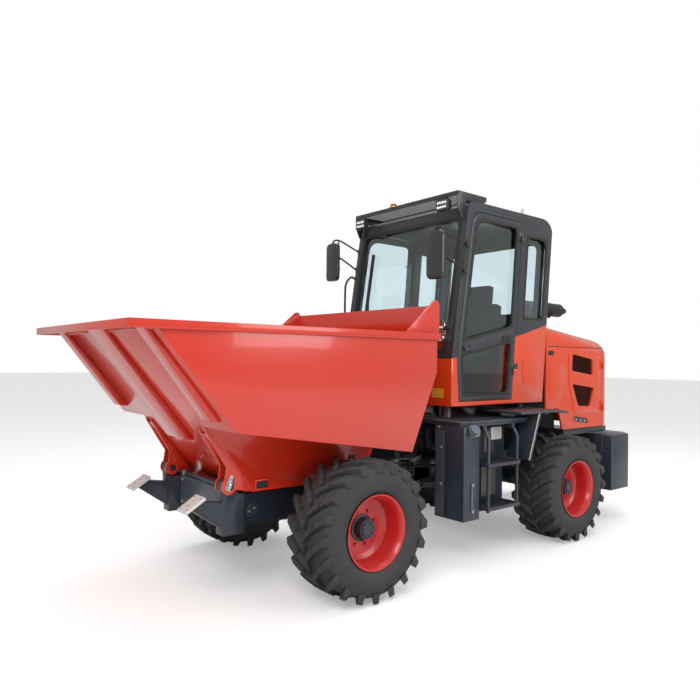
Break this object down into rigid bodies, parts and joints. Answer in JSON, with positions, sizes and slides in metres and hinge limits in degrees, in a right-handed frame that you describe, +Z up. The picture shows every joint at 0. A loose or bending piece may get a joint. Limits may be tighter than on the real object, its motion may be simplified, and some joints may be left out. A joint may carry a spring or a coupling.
{
  "type": "site dumper",
  "caption": "Articulated site dumper: front skip that tips forward, enclosed cab, engine under a rear hood, and large lugged tyres.",
  "frame": {"origin": "on the ground, on the centre plane, half way along the overall length", "axes": "+Z up, +Y rearward along the machine, so the skip is at -Y, and +X to the machine's own left"},
  "size_m": [2.02, 5.5, 3.07],
  "materials": {
    "skip_red": "gloss vermilion paint",
    "body_orange": "gloss orange-red paint",
    "chassis_navy": "satin navy-black paint",
    "cab_grey": "satin dark grey paint",
    "rim_red": "gloss crimson paint",
    "tyre_rubber": "matt lugged rubber",
    "glass": "pale tinted safety glass",
    "steel": "bright cylinder rod",
    "engine_grey": "dark cast iron",
    "black_plastic": "matt black",
    "seat_black": "black seat cloth",
    "amber": "amber beacon lens"
  },
  "bodies": {
    "rear_body": {"rear_frame": "chassis_navy", "rear_axle": "chassis_navy", "counterweight": "chassis_navy", "engine_block": "engine_grey", "exhaust": "black_plastic", "cab_deck": "chassis_navy", "cab_body": "body_orange", "cab_frame": "cab_grey", "cab_roof": "cab_grey", "visor_guard": "cab_grey", "beacon": "amber", "windscreen": "glass", "rear_window": "glass", "seat": "seat_black", "steering_column": "black_plastic", "left_mirror": "black_plastic", "right_mirror": "black_plastic", "hood_top": "body_orange", "hood_rear_cap": "body_orange", "left_tank": "chassis_navy", "right_tank": "chassis_navy", "left_steps": "chassis_navy", "right_steps": "chassis_navy", "left_fender": "chassis_navy", "right_fender": "chassis_navy", "left_quarter_window": "glass", "right_quarter_window": "glass"},
    "front_body": {"front_frame": "chassis_navy", "front_axle": "chassis_navy"},
    "skip_body": {"skip_shell": "skip_red", "skip_rim": "skip_red", "skip_back_board": "skip_red", "skip_cylinder_lugs": "skip_red", "skip_left_ear": "skip_red", "skip_right_ear": "skip_red"},
    "tip_barrel_body": {"tip_barrel": "chassis_navy"},
    "tip_rod_body": {"tip_rod": "steel"},
    "left_door_body": {"left_door": "cab_grey", "left_door_glass": "glass"},
    "left_hood_door_body": {"left_hood_door": "body_orange"},
    "left_steer_barrel_body": {"left_steer_barrel": "chassis_navy"},
    "left_steer_rod_body": {"left_steer_rod": "steel"},
    "front_left_wheel_body": {"front_left_tyre": "tyre_rubber", "front_left_rim": "rim_red"},
    "rear_left_wheel_body": {"rear_left_tyre": "tyre_rubber", "rear_left_rim": "rim_red"},
    "right_door_body": {"right_door": "cab_grey", "right_door_glass": "glass"},
    "right_hood_door_body": {"right_hood_door": "body_orange"},
    "right_steer_barrel_body": {"right_steer_barrel": "chassis_navy"},
    "right_steer_rod_body": {"right_steer_rod": "steel"},
    "front_right_wheel_body": {"front_right_tyre": "tyre_rubber", "front_right_rim": "rim_red"},
    "rear_right_wheel_body": {"rear_right_tyre": "tyre_rubber", "rear_right_rim": "rim_red"}
  },
  "joints": [
    {"name": "steer", "type": "hinge", "parent": "rear_body", "child": "front_body", "pos_m": [0, 0.11, 0.575], "axis": [0, 0, 1], "range_deg": [-33, 33]},
    {"name": "tip", "type": "hinge", "parent": "front_body", "child": "skip_body", "pos_m": [0, -1.92, 0.79], "axis": [1, 0, 0], "range_deg": [0, 82]},
    {"name": "tip_barrel_pivot", "type": "hinge", "parent": "front_body", "child": "tip_barrel_body", "pos_m": [0, -0.66, 0.625], "axis": [1, 0, 0], "range_deg": [-30, 1]},
    {"name": "tip_rod_slide", "type": "slide", "parent": "tip_barrel_body", "child": "tip_rod_body", "axis": [0, -1, 0.0052], "range_m": [0, 0.22]},
    {"name": "left_steer_barrel_pivot", "type": "hinge", "parent": "rear_body", "child": "left_steer_barrel_body", "pos_m": [0.345, 0.62, 0.575], "axis": [0, 0, 1], "range_deg": [-15, 15]},
    {"name": "left_steer_rod_slide", "type": "slide", "parent": "left_steer_barrel_body", "child": "left_steer_rod_body", "axis": [-0.0489, -0.9988, 0], "range_m": [-0.2, 0.2]},
    {"name": "left_cab_door", "type": "hinge", "parent": "rear_body", "child": "left_door_body", "pos_m": [0.7013, 0.76637, 1.5], "axis": [0, 0.0851, 0.9964], "range_deg": [0, 80]},
    {"name": "left_hood_side_door", "type": "hinge", "parent": "rear_body", "child": "left_hood_door_body", "pos_m": [0.6913, 2.3, 1.3], "axis": [0, 0, 1], "range_deg": [0, 80]},
    {"name": "front_left_wheel", "type": "hinge", "parent": "front_body", "child": "front_left_wheel_body", "pos_m": [0.81, -1.1, 0.475], "axis": [1, 0, 0], "continuous": true},
    {"name": "rear_left_wheel", "type": "hinge", "parent": "rear_body", "child": "rear_left_wheel_body", "pos_m": [0.81, 1.32, 0.475], "axis": [1, 0, 0], "continuous": true},
    {"name": "right_steer_barrel_pivot", "type": "hinge", "parent": "rear_body", "child": "right_steer_barrel_body", "pos_m": [-0.345, 0.62, 0.575], "axis": [0, 0, 1], "range_deg": [-15, 15]},
    {"name": "right_steer_rod_slide", "type": "slide", "parent": "right_steer_barrel_body", "child": "right_steer_rod_body", "axis": [0.0489, -0.9988, 0], "range_m": [-0.2, 0.2]},
    {"name": "right_cab_door", "type": "hinge", "parent": "rear_body", "child": "right_door_body", "pos_m": [-0.7013, 0.76637, 1.5], "axis": [0, -0.0851, -0.9964], "range_deg": [0, 80]},
    {"name": "right_hood_side_door", "type": "hinge", "parent": "rear_body", "child": "right_hood_door_body", "pos_m": [-0.6913, 2.3, 1.3], "axis": [0, 0, -1], "range_deg": [0, 80]},
    {"name": "front_right_wheel", "type": "hinge", "parent": "front_body", "child": "front_right_wheel_body", "pos_m": [-0.81, -1.1, 0.475], "axis": [1, 0, 0], "continuous": true},
    {"name": "rear_right_wheel", "type": "hinge", "parent": "rear_body", "child": "rear_right_wheel_body", "pos_m": [-0.81, 1.32, 0.475], "axis": [1, 0, 0], "continuous": true}
  ],
  "couplings": [
    {"joint": "tip_barrel_pivot", "follows": "tip", "ratio": -0.2712},
    {"joint": "tip_rod_slide", "follows": "tip", "m_per_rad": 0.131},
    {"joint": "left_steer_barrel_pivot", "follows": "steer", "ratio": 0.4277},
    {"joint": "left_steer_rod_slide", "follows": "steer", "m_per_rad": -0.315},
    {"joint": "right_steer_barrel_pivot", "follows": "steer", "ratio": 0.4277},
    {"joint": "right_steer_rod_slide", "follows": "steer", "m_per_rad": 0.315}
  ]
}
